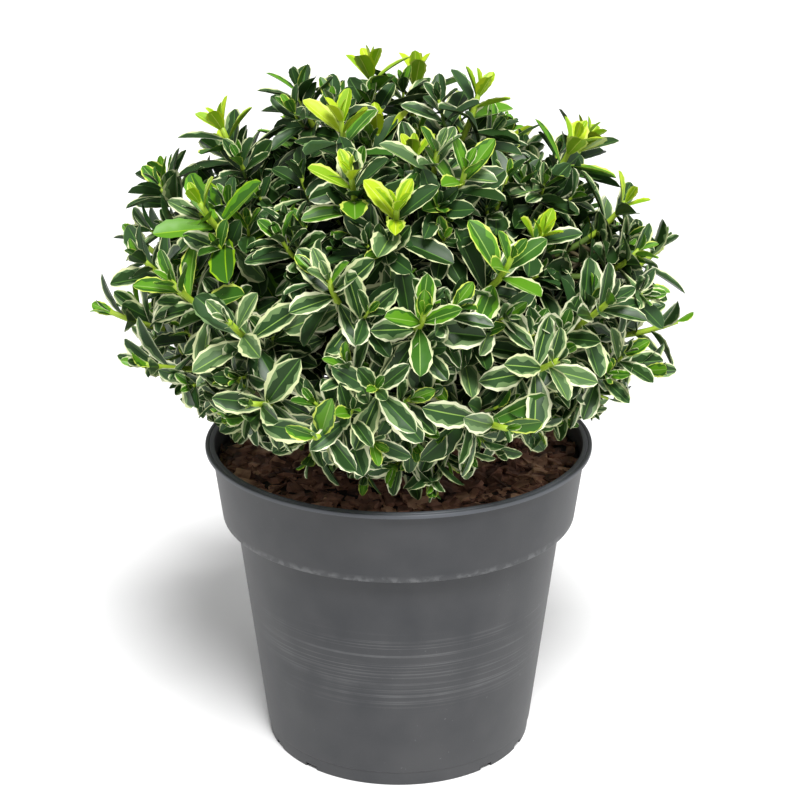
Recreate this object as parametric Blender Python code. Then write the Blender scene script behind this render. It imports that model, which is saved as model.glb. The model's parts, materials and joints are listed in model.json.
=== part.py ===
# Potted Japanese spindle: a rounded, dense evergreen shrub in a round plastic nursery pot.
#
# The pot stands on the flat pad and the foot ring under its floor, and is filled with growing
# medium up to the mulch. A short stem hidden in the crown carries boughs that fan out from its
# head, and each bough ends where it meets the stem of one mass of foliage. The masses sit in
# tiers over a domed outline and every one of them keeps to its own share of the crown.
#
# Units are metres, +Z is up, the front is -Y and the origin is on the ground under the pot.

import bpy
import bmesh
import math
import random
from mathutils import Matrix, Vector
from mathutils.bvhtree import BVHTree

MM = 0.001
UP = Vector((0.0, 0.0, 1.0))
SEED = 3
GAP = 0.3 * MM

# Pot: radii and heights of its outside, from the lip down to the foot
SEGMENTS = 40
RIM_RADIUS = 115 * MM
RIM_HEIGHT = 190 * MM
LIP_HEIGHT = 2.4 * MM
COLLAR_TOP_RADIUS = 111.3 * MM
COLLAR_FOOT_RADIUS = 105.7 * MM
COLLAR_FOOT_HEIGHT = 144.7 * MM
BODY_TOP_RADIUS = 98.1 * MM
RING_RADIUS = 81.9 * MM
RING_HEIGHT = 9.4 * MM
RING_STEP = 0.7 * MM
FOOT_RADIUS = 80.4 * MM
WALL = 1.8 * MM
EDGE_ROUND = 1.0 * MM

# Pot: floor, foot ring, flat pad in the middle, drainage holes and notches in the foot
FLOOR_HEIGHT = 5.0 * MM
FLOOR_THICKNESS = 2.0 * MM
FOOT_WIDTH = 5.6 * MM
PAD_RADIUS = 20 * MM
DRAIN_COUNT = 8
DRAIN_RADIUS = 5.5 * MM
DRAIN_CIRCLE = 52 * MM
NOTCH_ANGLES = (40.7, 64.5)
NOTCH_WIDTH = 8.5 * MM
NOTCH_HEIGHT = 2.6 * MM

# Filling of the pot
SOIL_HEIGHT = 176 * MM
SOIL_MOUND = 4 * MM

# Short stem: a flared foot on the filling and a round head that the boughs leave
STEM_LEAN = Vector((-3 * MM, 2 * MM, 0.0))
STEM_FOOT_RADIUS = 17 * MM
STEM_WAIST_RADIUS = 10.5 * MM
HEAD_RADIUS = 15 * MM
HEAD_HEIGHT = 208 * MM
FLARE_SHARE = 0.18
STEM_SIDES = 10

# Crown outline: a dome whose widest ring lies above the rim of the pot
CROWN_CENTRE = Vector((-3 * MM, 0.0, 262 * MM))
CROWN_REACH = 169 * MM
CROWN_RISE = 162 * MM
CROWN_DROP = 88 * MM

# Masses of foliage: tier name, how many, elevation and first azimuth in degrees
TIERS = (
    ("low", 7, -2, -90),
    ("mid", 5, 38, -100),
    ("top", 1, 87, 111),
)
CELL_SHARE = 0.60
CELL_MARGIN = 0.8 * MM
BOUGH_SHARE = 0.34
BOUGH_ROOT_RADIUS = 2.7 * MM
BOUGH_TIP_RADIUS = 1.9 * MM
BOUGH_SIDES = 5

# Twigs: a leader and side shoots that turn up towards the light
TIP_SHARE = 0.86
SIDE_SHOOTS = 7
SIDE_SPREAD = 26
SIDE_TURN = 137.5
FORKS = (2, 3, 1)
STEM_LEAD = 3 * MM
SIDE_RADIUS = 0.7
TWIG_SIDES = 3
TWIG_TIP_RADIUS = 0.9 * MM
LIFT = 0.42

# Leaves: larger than life here, in crossed pairs that open from the tip down
LEAF_LENGTH = 45 * MM
LEAF_WIDTH = 22 * MM
LEAF_THICKNESS = 1.0 * MM
LEAF_FOLD = 2.6 * MM
LEAF_SPACING = 15 * MM
LEAF_STAGGER = 1.1 * MM
LEADER_PAIRS = 5
SIDE_PAIRS = 3
OPENING_TOP = 34
OPENING_STEP = 17
LEAF_REACH = 1.03
SOIL_CLEARANCE = 3 * MM
RIM_CLEARANCE = 4 * MM
LIMB_CLEARANCE = 1.2 * MM


# Scene and materials

def clear_scene():
    """Take away whatever the file starts with."""
    for item in list(bpy.data.objects):
        bpy.data.objects.remove(item, do_unlink=True)


def material(name, colour, roughness):
    """A plain surface with the colour and roughness of one real material."""
    made = bpy.data.materials.new(name)
    made.use_nodes = True
    shader = made.node_tree.nodes["Principled BSDF"]
    shader.inputs["Base Color"].default_value = (*colour, 1.0)
    shader.inputs["Roughness"].default_value = roughness
    shader.inputs["Metallic"].default_value = 0.0
    return made


def add_object(name, bm, surface, smooth=False):
    """Turn a bmesh into a named object that carries one material."""
    mesh = bpy.data.meshes.new(name)
    bm.to_mesh(mesh)
    bm.free()
    mesh.materials.append(surface)
    if smooth:
        mesh.shade_smooth()
        mesh.set_sharp_from_angle(angle=math.radians(35))
    made = bpy.data.objects.new(name, mesh)
    bpy.context.scene.collection.objects.link(made)
    return made


def as_guide(made):
    """Mark a cutter so that it is never part of the model."""
    made.hide_render = True
    made.display_type = "WIRE"
    return made


# Pot

def on_line(low, high, height):
    """Radius at a height on the straight wall between two (radius, height) corners."""
    share = (height - low[1]) / (high[1] - low[1])
    return low[0] + (high[0] - low[0]) * share


def pot_outside():
    """Radius and height of the outer side, from the lip down to the foot."""
    lip_foot = RIM_HEIGHT - LIP_HEIGHT
    return [
        (RIM_RADIUS - EDGE_ROUND, RIM_HEIGHT),
        (RIM_RADIUS, RIM_HEIGHT - EDGE_ROUND),
        (RIM_RADIUS, lip_foot),
        (COLLAR_TOP_RADIUS, lip_foot),
        (COLLAR_FOOT_RADIUS, COLLAR_FOOT_HEIGHT),
        (BODY_TOP_RADIUS, COLLAR_FOOT_HEIGHT),
        (RING_RADIUS, RING_HEIGHT),
        (RING_RADIUS - RING_STEP, RING_HEIGHT - RING_STEP),
        (FOOT_RADIUS, 0.0),
    ]


def pot_inside(inset):
    """Radius and height of the inner side, from the floor up to the lip."""
    step = COLLAR_FOOT_HEIGHT + WALL
    body_foot = (RING_RADIUS, RING_HEIGHT)
    body_top = (BODY_TOP_RADIUS, COLLAR_FOOT_HEIGHT)
    return [
        (on_line(body_foot, body_top, FLOOR_HEIGHT) - inset, FLOOR_HEIGHT),
        (BODY_TOP_RADIUS - inset, step),
        (COLLAR_FOOT_RADIUS - inset, step),
        (COLLAR_TOP_RADIUS - inset, RIM_HEIGHT - EDGE_ROUND),
    ]


def turned(name, profile, surface):
    """Spin a profile that starts and ends on the axis into a closed round piece."""
    bm = bmesh.new()
    points = [bm.verts.new((radius, 0.0, height)) for radius, height in profile]
    for first, second in zip(points, points[1:]):
        bm.edges.new((first, second))
    made = add_object(name, bm, surface)
    screw = made.modifiers.new("Turn", "SCREW")
    screw.axis = "Z"
    screw.angle = math.tau
    screw.steps = SEGMENTS
    screw.render_steps = SEGMENTS
    screw.use_merge_vertices = True
    screw.merge_threshold = 0.00005
    screw.use_smooth_shade = True
    return made


def cutter_box(name, size, matrix, surface):
    """A block that cuts a notch."""
    bm = bmesh.new()
    bmesh.ops.create_cube(bm, size=1.0, matrix=matrix @ Matrix.Diagonal((*size, 1.0)))
    return as_guide(add_object(name, bm, surface))


def cutter_peg(name, radius, height, place, surface):
    """A round peg that cuts a drainage hole."""
    bm = bmesh.new()
    bmesh.ops.create_cone(bm, cap_ends=True, segments=10, radius1=radius, radius2=radius,
                          depth=height, matrix=Matrix.Translation(place))
    return as_guide(add_object(name, bm, surface))


def cut(target, cutter):
    """Subtract a cutter from a piece."""
    made = target.modifiers.new(cutter.name, "BOOLEAN")
    made.operation = "DIFFERENCE"
    made.solver = "EXACT"
    made.object = cutter


def build_pot(plastic):
    """The pot: one wall from lip to foot, a floor with drainage holes, and a notched foot."""
    underside = FLOOR_HEIGHT - FLOOR_THICKNESS
    inside = pot_inside(WALL)
    lip_inner = [(inside[-1][0] + EDGE_ROUND, RIM_HEIGHT)]
    ground = [
        (FOOT_RADIUS - FOOT_WIDTH, 0.0),
        (FOOT_RADIUS - FOOT_WIDTH, underside),
        (PAD_RADIUS, underside),
        (PAD_RADIUS, 0.0),
        (0.0, 0.0),
    ]
    profile = [(0.0, FLOOR_HEIGHT)] + inside + lip_inner + pot_outside() + ground
    pot = turned("pot", profile, plastic)
    for index in range(DRAIN_COUNT):
        turn = math.tau * (index + 0.5) / DRAIN_COUNT
        place = Vector((DRAIN_CIRCLE * math.cos(turn), DRAIN_CIRCLE * math.sin(turn), FLOOR_HEIGHT))
        cut(pot, cutter_peg(f"drain_cutter_{index + 1}", DRAIN_RADIUS, 6 * FLOOR_THICKNESS, place,
                            plastic))
    front = -90.0
    sides = [sign * angle for angle in NOTCH_ANGLES for sign in (1, -1)]
    turns = [front + side for side in sides] + [front + 180 + side for side in sides]
    for index, turn in enumerate(turns):
        place = Matrix.Rotation(math.radians(turn), 4, "Z")
        place = place @ Matrix.Translation((FOOT_RADIUS - FOOT_WIDTH / 2, 0.0, 0.0))
        size = (FOOT_WIDTH * 2.4, NOTCH_WIDTH, 2 * NOTCH_HEIGHT)
        cut(pot, cutter_box(f"notch_cutter_{index + 1}", size, place, plastic))
    return pot


def build_soil(mulch):
    """The filling: one solid from the floor to the mulch, just clear of the wall."""
    inside = pot_inside(WALL + GAP)
    step = inside[1][1] + GAP
    foot = (inside[2][0], step)
    rim = inside[3]
    edge = on_line(foot, rim, SOIL_HEIGHT)
    profile = [
        (0.0, SOIL_HEIGHT),
        (STEM_FOOT_RADIUS * 1.6, SOIL_HEIGHT),
        (edge * 0.6, SOIL_HEIGHT + SOIL_MOUND * 0.4),
        (edge * 0.88, SOIL_HEIGHT - SOIL_MOUND * 0.2),
        (edge, SOIL_HEIGHT - SOIL_MOUND * 0.5),
        (foot[0], foot[1]),
        (inside[1][0], step),
        (inside[0][0], FLOOR_HEIGHT + GAP),
        (0.0, FLOOR_HEIGHT + GAP),
    ]
    return turned("soil", profile, mulch)


# Limbs

def ring_frame(heading):
    """Two directions square to a heading and to each other."""
    side = heading.cross(UP)
    if side.length < 1e-4:
        side = Vector((1.0, 0.0, 0.0))
    side.normalize()
    return side, heading.cross(side).normalized()


def add_tube(bm, path, radii, sides):
    """A closed tapering limb through the points of a path."""
    rings = []
    for index, point in enumerate(path):
        before = path[max(index - 1, 0)]
        after = path[min(index + 1, len(path) - 1)]
        side, over = ring_frame((after - before).normalized())
        ring = []
        for corner in range(sides):
            turn = math.tau * corner / sides
            offset = side * math.cos(turn) + over * math.sin(turn)
            ring.append(bm.verts.new(point + offset * radii[index]))
        rings.append(ring)
    for low, high in zip(rings, rings[1:]):
        for corner in range(sides):
            nearby = (corner + 1) % sides
            bm.faces.new((low[corner], low[nearby], high[nearby], high[corner]))
    bm.faces.new(list(reversed(rings[0])))
    bm.faces.new(rings[-1])


def curve(start, control, end, steps):
    """Points from start to end along a curve that a control point pulls aside."""
    points = []
    for index in range(steps + 1):
        share = index / steps
        first = start.lerp(control, share)
        second = control.lerp(end, share)
        points.append(first.lerp(second, share))
    return points


def bend(start, end, heading, steps):
    """A curve that arrives at its end on a given heading."""
    return curve(start, end - heading * (end - start).length * 0.5, end, steps)


def taper(root, tip, count):
    """Radii that shrink evenly from a root to a tip."""
    return [root + (tip - root) * index / (count - 1) for index in range(count)]


def limb_tree(path, radii):
    """A search tree of a limb that is slightly fattened, to keep leaves off it."""
    bm = bmesh.new()
    add_tube(bm, path, [radius + LIMB_CLEARANCE for radius in radii], BOUGH_SIDES)
    tree = BVHTree.FromBMesh(bm)
    bm.free()
    return tree


def head_centre():
    """Middle of the round head of the stem."""
    return Vector((STEM_LEAN.x, STEM_LEAN.y, HEAD_HEIGHT))


def build_trunk(bark):
    """The short stem: flared on a flat cut, leaning a little, with a round head."""
    head = head_centre()
    foot = SOIL_HEIGHT + GAP
    waist = HEAD_HEIGHT - HEAD_RADIUS
    rings = [(0.0, STEM_FOOT_RADIUS), (FLARE_SHARE, STEM_FOOT_RADIUS * 0.78),
             (0.5, STEM_WAIST_RADIUS * 1.08), (0.8, STEM_WAIST_RADIUS)]
    path = []
    radii = []
    for share, radius in rings:
        lean = STEM_LEAN * max(0.0, share - FLARE_SHARE)
        path.append(lean + UP * (foot + (waist - foot) * share))
        radii.append(radius)
    for angle in (-38, -5, 28, 58, 80):
        turn = math.radians(angle)
        path.append(head + UP * HEAD_RADIUS * math.sin(turn))
        radii.append(HEAD_RADIUS * math.cos(turn))
    bm = bmesh.new()
    add_tube(bm, path, radii, STEM_SIDES)
    return add_object("trunk", bm, bark, smooth=True)


# Crown

def direction(azimuth, elevation):
    """Unit vector for an azimuth and an elevation in degrees."""
    around = math.radians(azimuth)
    rise = math.radians(elevation)
    flat = math.cos(rise)
    return Vector((flat * math.cos(around), flat * math.sin(around), math.sin(rise)))


def outline(heading):
    """Distance from the middle of the crown to its outline along a heading."""
    height = CROWN_RISE if heading.z > 0 else CROWN_DROP
    flat = math.hypot(heading.x, heading.y) / CROWN_REACH
    return 1.0 / math.hypot(flat, heading.z / height)


def mass_list():
    """Name and heading of every mass, tier by tier."""
    masses = []
    for tier, count, elevation, first in TIERS:
        for index in range(count):
            azimuth = first + 360.0 * index / count
            masses.append((f"{tier}_{index + 1:02d}", direction(azimuth, elevation)))
    return masses


def cell_planes(masses, index):
    """Planes half way to the neighbouring masses, which bound a mass's own space."""
    centres = [CROWN_CENTRE + way * outline(way) * CELL_SHARE for _, way in masses]
    planes = []
    for other, centre in enumerate(centres):
        if other == index:
            continue
        across = centre - centres[index]
        middle = centres[index] + across / 2
        planes.append((middle, across.normalized()))
    return planes


def in_own_space(points, planes):
    """Whether all points lie in the mass's own space and clear of pot and filling."""
    low = min(point.z for point in points) < RIM_HEIGHT + RIM_CLEARANCE
    for point in points:
        away = point - CROWN_CENTRE
        if away.length > outline(away.normalized()) * LEAF_REACH:
            return False
        if low and math.hypot(point.x, point.y) > COLLAR_FOOT_RADIUS - RIM_CLEARANCE:
            return False
        if point.z < SOIL_HEIGHT + SOIL_MOUND + SOIL_CLEARANCE:
            return False
        if any((point - middle).dot(across) > -CELL_MARGIN for middle, across in planes):
            return False
    return True


def leaf_points(root, heading, face, size):
    """Corners of a folded leaf: root, two edges, tip, and the midrib above and below."""
    side = heading.cross(face).normalized()
    face = side.cross(heading).normalized()
    length = LEAF_LENGTH * size
    middle = root + heading * length * 0.56
    edge = side * LEAF_WIDTH * size / 2
    fold = face * LEAF_FOLD * size
    half = face * LEAF_THICKNESS / 2
    tip = root + heading * length - fold * 0.6
    return [root, middle + edge, middle - edge, tip, middle - fold + half, middle - fold - half]


LEAF_FACES = ((0, 1, 4), (1, 3, 4), (3, 2, 4), (2, 0, 4), (1, 0, 5), (3, 1, 5), (2, 3, 5), (0, 2, 5))


def leaf_tree(points):
    """A search tree of one leaf."""
    return BVHTree.FromPolygons(points, LEAF_FACES)


def shoot_leaves(path, pairs, roll, chance):
    """Root, heading, upper side and size of the crossed pairs of leaves on a shoot."""
    steps = len(path) - 1
    length = sum((path[index + 1] - path[index]).length for index in range(steps))
    leaves = []
    for pair in range(pairs + 1):
        share = max(0.0, 1.0 - (pair * LEAF_SPACING + 1.5 * MM) / length)
        index = min(int(share * steps), steps - 1)
        point = path[index].lerp(path[index + 1], share * steps - index)
        axis = (path[index + 1] - path[index]).normalized()
        side, over = ring_frame(axis)
        turn = roll + pair * math.pi / 2
        size = (0.72, 0.95, 1.04, 1.0, 0.95, 0.9)[pair] * chance.uniform(0.94, 1.06)
        for half in range(2):
            out = side * math.cos(turn + half * math.pi) + over * math.sin(turn + half * math.pi)
            opening = math.radians(OPENING_TOP + pair * OPENING_STEP + chance.uniform(-7, 7))
            root = point - axis * half * LEAF_STAGGER
            leaves.append((root, axis, out, opening, size))
    return leaves


def grow_mass(name, way, masses, index, start, leaving, limbs, surface):
    """One mass: stem, twigs, leaves and a small core, joined into one solid."""
    chance = random.Random(SEED + index)
    planes = cell_planes(masses, index)
    reach = outline(way)
    tip = CROWN_CENTRE + way * reach * TIP_SHARE
    heading = (way + UP * LIFT).normalized()
    stem = [start] + bend(start + leaving * STEM_LEAD, tip, heading, 4)
    shoots = [(stem, LEADER_PAIRS)]
    side, over = ring_frame(way)
    for twig in range(SIDE_SHOOTS):
        turn = math.radians(SIDE_TURN) * twig + index
        spread = math.radians(SIDE_SPREAD) * math.sqrt((twig + 1.5) / (SIDE_SHOOTS + 0.5))
        across = side * math.cos(turn) + over * math.sin(turn)
        aim = (way * math.cos(spread) + across * math.sin(spread)).normalized()
        end = CROWN_CENTRE + aim * outline(aim) * TIP_SHARE * chance.uniform(0.94, 1.0)
        fork = stem[FORKS[twig % len(FORKS)]]
        if in_own_space([end], planes):
            shoots.append((bend(fork, end, (aim + UP * LIFT).normalized(), 3), SIDE_PAIRS))
    pieces = []
    for path, _ in shoots:
        bm = bmesh.new()
        root = BOUGH_TIP_RADIUS * (1.0 if path is stem else SIDE_RADIUS)
        add_tube(bm, path, taper(root, TWIG_TIP_RADIUS, len(path)), TWIG_SIDES)
        pieces.append(bm)
    twigs = [BVHTree.FromBMesh(bm) for bm in pieces]
    grown = []
    for number, (path, pairs) in enumerate(shoots):
        others = limbs + twigs[:number] + twigs[number + 1:]
        for root, axis, out, opening, size in shoot_leaves(path, pairs, chance.uniform(0, math.tau), chance):
            for change in (0.0, 0.3, -0.3):
                lean = (axis * math.cos(opening + change) + out * math.sin(opening + change)).normalized()
                points = leaf_points(root, lean, axis, size)
                tree = leaf_tree(points)
                if not in_own_space(points, planes):
                    continue
                if any(tree.overlap(limb) for limb in others):
                    continue
                if any(tree.overlap(other) for near, other in grown if near != root):
                    continue
                grown.append((root, tree))
                bm = bmesh.new()
                corners = [bm.verts.new(point) for point in points]
                for face in LEAF_FACES:
                    bm.faces.new([corners[corner] for corner in face])
                bmesh.ops.recalc_face_normals(bm, faces=bm.faces)
                pieces.append(bm)
                break
    return join(name, pieces, surface), len(grown)


def join(name, pieces, surface):
    """Join pieces that overlap into one solid and keep only its outer shell."""
    body = add_object(name, pieces[0], surface)
    others = bpy.data.collections.new(name + "_pieces")
    bpy.context.scene.collection.children.link(others)
    for index, bm in enumerate(pieces[1:]):
        piece = add_object(f"{name}_piece_{index}", bm, surface)
        bpy.context.scene.collection.objects.unlink(piece)
        others.objects.link(piece)
    union = body.modifiers.new("Join", "BOOLEAN")
    union.operation = "UNION"
    union.operand_type = "COLLECTION"
    union.collection = others
    for solver in ("EXACT", "MANIFOLD"):
        union.solver = solver
        evaluated = body.evaluated_get(bpy.context.evaluated_depsgraph_get())
        joined = bpy.data.meshes.new_from_object(evaluated)
        if is_closed(joined):
            break
    body.modifiers.remove(union)
    body.data = joined
    for piece in list(others.objects):
        bpy.data.objects.remove(piece, do_unlink=True)
    bpy.data.collections.remove(others)
    keep_outer_shell(joined)
    return body


def is_closed(mesh):
    """Whether every edge of a mesh joins just two faces."""
    bm = bmesh.new()
    bm.from_mesh(mesh)
    closed = all(edge.is_manifold for edge in bm.edges)
    bm.free()
    return closed


def keep_outer_shell(mesh):
    """Drop loose scraps and sealed hollows, which are shells of their own."""
    bm = bmesh.new()
    bm.from_mesh(mesh)
    left = set(bm.faces)
    shells = []
    while left:
        front = [left.pop()]
        shell = list(front)
        while front:
            for edge in front.pop().edges:
                fresh = [face for face in edge.link_faces if face in left]
                left.difference_update(fresh)
                front.extend(fresh)
                shell.extend(fresh)
        shells.append(shell)
    shells.sort(key=len)
    scraps = [face for shell in shells[:-1] for face in shell]
    bmesh.ops.delete(bm, geom=scraps, context="FACES")
    bm.to_mesh(mesh)
    bm.free()


def build_crown(bark, foliage):
    """Boughs from the head of the stem, and the mass of foliage that each one carries."""
    head = head_centre()
    masses = mass_list()
    starts = []
    limbs = []
    for name, way in masses:
        tip = CROWN_CENTRE + way * outline(way) * BOUGH_SHARE
        leaving = ((tip - head).normalized() + way).normalized()
        root = head + leaving * (HEAD_RADIUS + GAP)
        path = curve(root, root + leaving * (tip - root).length * 0.45, tip, 4)
        radii = taper(BOUGH_ROOT_RADIUS, BOUGH_TIP_RADIUS, len(path))
        bm = bmesh.new()
        add_tube(bm, path, radii, BOUGH_SIDES)
        add_object("bough_" + name, bm, bark, smooth=True)
        arriving = (path[-1] - path[-2]).normalized()
        starts.append((tip + arriving * GAP, arriving))
        limbs.append(limb_tree(path, radii))
    for index, (name, way) in enumerate(masses):
        made, leaves = grow_mass("foliage_" + name, way, masses, index, *starts[index],
                                 limbs, foliage)
        print(made.name, "leaves", leaves, "faces", len(made.data.polygons))


def main():
    clear_scene()
    plastic = material("pot_plastic", (0.085, 0.088, 0.094), 0.55)
    mulch = material("bark_mulch", (0.115, 0.060, 0.040), 0.90)
    bark = material("stem_bark", (0.130, 0.115, 0.050), 0.75)
    foliage = material("leaf_green", (0.050, 0.130, 0.045), 0.45)
    build_pot(plastic)
    build_soil(mulch)
    build_trunk(bark)
    build_crown(bark, foliage)


main()
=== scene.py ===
# %% [markdown]
# A Japanese spindle in a nursery pot is mostly leaves: short upright shoots, each with crossed
# pairs of small, glossy, cream-edged leaves, packed over a dome. This lesson builds the pot, the
# bark mulch, the woody limbs and then every leaf as a small folded mesh. The solids of the frame
# give the sizes and the places, and each piece made here stands in for one or more of them.

# %% Frame, units and helpers
import json
import math
import random

import bmesh
import bpy
from mathutils import Matrix, Vector, noise

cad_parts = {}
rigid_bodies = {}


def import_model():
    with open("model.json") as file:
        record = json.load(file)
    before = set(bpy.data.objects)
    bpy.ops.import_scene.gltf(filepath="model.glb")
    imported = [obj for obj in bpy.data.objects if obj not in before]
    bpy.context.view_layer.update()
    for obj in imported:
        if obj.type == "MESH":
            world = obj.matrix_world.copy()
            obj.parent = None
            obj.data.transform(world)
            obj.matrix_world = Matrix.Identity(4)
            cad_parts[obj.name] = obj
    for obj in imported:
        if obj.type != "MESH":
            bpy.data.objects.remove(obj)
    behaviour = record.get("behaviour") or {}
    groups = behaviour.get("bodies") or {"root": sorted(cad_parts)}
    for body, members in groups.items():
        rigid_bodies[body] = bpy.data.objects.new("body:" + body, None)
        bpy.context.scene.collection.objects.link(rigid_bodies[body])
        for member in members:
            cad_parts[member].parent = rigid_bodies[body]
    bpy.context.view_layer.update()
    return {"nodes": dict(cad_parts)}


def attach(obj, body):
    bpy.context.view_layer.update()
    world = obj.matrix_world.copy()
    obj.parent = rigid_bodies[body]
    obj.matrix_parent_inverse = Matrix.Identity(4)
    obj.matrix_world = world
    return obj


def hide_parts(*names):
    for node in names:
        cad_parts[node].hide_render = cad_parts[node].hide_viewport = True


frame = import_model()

MM = 0.001
UP = Vector((0.0, 0.0, 1.0))
ROOT = "root"
NODES = sorted(frame["nodes"])
print("nodes in the frame:", len(NODES))

# %% [markdown]
# Blender's shader nodes are clear to read once, but long to write. A small class wraps a socket
# so that maths can be written as plain expressions, and one method adds any other node with its
# settings first and its inputs after. Colours go through Mix nodes, numbers through Math nodes.

# %% Shader helper


class Socket:
    """A shader value that can be added, multiplied and compared like a number."""

    def __init__(self, tree, link):
        self.tree = tree
        self.link = link

    def maths(self, operation, other):
        node = self.tree.nodes.new("ShaderNodeMath")
        node.operation = operation
        for place, value in zip(node.inputs, (self, other)):
            if isinstance(value, Socket):
                self.tree.links.new(value.link, place)
            else:
                place.default_value = value
        return Socket(self.tree, node.outputs[0])

    def __add__(self, other):
        return self.maths("ADD", other)

    def __radd__(self, other):
        return self.maths("ADD", other)

    def __mul__(self, other):
        return self.maths("MULTIPLY", other)

    def __gt__(self, other):
        return self.maths("GREATER_THAN", other)


class Finish:
    """A material under construction."""

    def __init__(self, name, colour, roughness):
        self.material = bpy.data.materials.new(name)
        self.material.use_nodes = True
        self.tree = self.material.node_tree
        self.shader = self.tree.nodes["Principled BSDF"]
        self.shader.inputs["Base Color"].default_value = (*colour, 1.0)
        self.shader.inputs["Roughness"].default_value = roughness

    def node(self, kind, output=0, settings=None, **values):
        made = self.tree.nodes.new(kind)
        for key, value in (settings or {}).items():
            setattr(made, key, value)
        for key, value in values.items():
            place = made.inputs[key.replace("_", " ")]
            if isinstance(value, Socket):
                self.tree.links.new(value.link, place)
            else:
                place.default_value = value
        return Socket(self.tree, made.outputs[output])

    def place(self):
        return self.node("ShaderNodeTexCoord", "Object")

    def axes(self):
        made = self.tree.nodes.new("ShaderNodeSeparateXYZ")
        self.tree.links.new(self.place().link, made.inputs[0])
        return [Socket(self.tree, out) for out in made.outputs]

    def noise(self, scale, detail=3.0, vector=None):
        values = {"Scale": scale, "Detail": detail, "Vector": vector or self.place()}
        return self.node("ShaderNodeTexNoise", "Fac", **values)

    def mix(self, factor, first, second):
        made = self.tree.nodes.new("ShaderNodeMix")
        made.data_type = "RGBA"
        for index, value in ((0, factor), (6, first), (7, second)):
            if isinstance(value, Socket):
                self.tree.links.new(value.link, made.inputs[index])
            elif index == 0:
                made.inputs[index].default_value = value
            else:
                made.inputs[index].default_value = (*value, 1.0)
        return Socket(self.tree, made.outputs[2])

    def band(self, value, low, high):
        """0 under low, 1 over high, straight between."""
        return self.node("ShaderNodeMapRange", 0, None, Value=value, From_Min=low, From_Max=high)

    def belt(self, value, heights):
        """1 between the middle two of four rising values, 0 outside the outer two."""
        low, full, fading, high = heights
        return self.band(value, low, full) * self.band(value, high, fading)

    def bump(self, height, depth, strength):
        made = self.node("ShaderNodeBump", 0, None, Height=height, Distance=depth, Strength=strength)
        self.tree.links.new(made.link, self.shader.inputs["Normal"])

    def drive(self, socket, value):
        self.tree.links.new(value.link, self.shader.inputs[socket])


def add_mesh(name, points, faces, materials, kinds=None):
    """A named, smooth object at the origin from points, faces and the finish of each face."""
    mesh = bpy.data.meshes.new(name)
    mesh.from_pydata(points, [], faces)
    for made in materials:
        mesh.materials.append(made)
    if kinds is not None:
        mesh.polygons.foreach_set("material_index", kinds)
    mesh.polygons.foreach_set("use_smooth", [True] * len(mesh.polygons))
    mesh.update()
    made = bpy.data.objects.new(name, mesh)
    bpy.context.scene.collection.objects.link(made)
    return made


def stands_for(piece, slot, *nodes):
    """Fix a finished piece to the one body and hide the solids that it stands for."""
    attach(piece, ROOT)
    if nodes:
        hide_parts(*nodes)
    print(piece.name, "faces", len(piece.data.polygons))


# %% [markdown]
# The pot is matte, dark grey moulded plastic. Its wall is a turned outline: a thin lip, a collar
# that stands out and ends in a sharp step, a plain tapering body with a fine ring near the foot,
# and notches that let water out. Spinning an outline by a loop keeps every radius a named value.
# The radii are read from the same sizes as the solid, and rounded where a mould rounds them.

# %% Pot sizes
SEGMENTS = 192
RIM_RADIUS = 115 * MM
RIM_HEIGHT = 190 * MM
LIP_HEIGHT = 2.4 * MM
GROOVE_RADIUS = 112.6 * MM
GROOVE = 0.55 * MM
COLLAR_TOP = (111.3 * MM, RIM_HEIGHT - LIP_HEIGHT)
COLLAR_FOOT = (105.7 * MM, 144.7 * MM)
BODY_TOP = (98.1 * MM, 144.7 * MM)
RING = (81.9 * MM, 9.4 * MM)
FOOT = (80.4 * MM, 0.0)
WALL = 1.8 * MM
FLOOR = 5.0 * MM
UNDERSIDE = 3.0 * MM
FOOT_WIDTH = 5.6 * MM
PAD_RADIUS = 20 * MM
DRAIN_COUNT = 8
DRAIN_RADIUS = 5.5 * MM
DRAIN_CIRCLE = 52 * MM
NOTCH_ANGLES = (40.7, 64.5)
NOTCH_SIZE = (14 * MM, 8.5 * MM, 5.2 * MM)
CUTTER_DEPTH = 12 * MM
SHARP_ANGLE = 38
SOIL_HEIGHT = 176 * MM
SOIL_RADIUS = 107.5 * MM


def rounded(corner, before, after, radius, steps=4):
    """Points of a small arc that rounds one corner of an outline."""
    corner = Vector(corner)
    start = corner + (Vector(before) - corner).normalized() * radius
    end = corner + (Vector(after) - corner).normalized() * radius
    arc = []
    for step in range(steps + 1):
        share = step / steps
        arc.append(start.lerp(corner, share).lerp(corner.lerp(end, share), share))
    return arc


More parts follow.
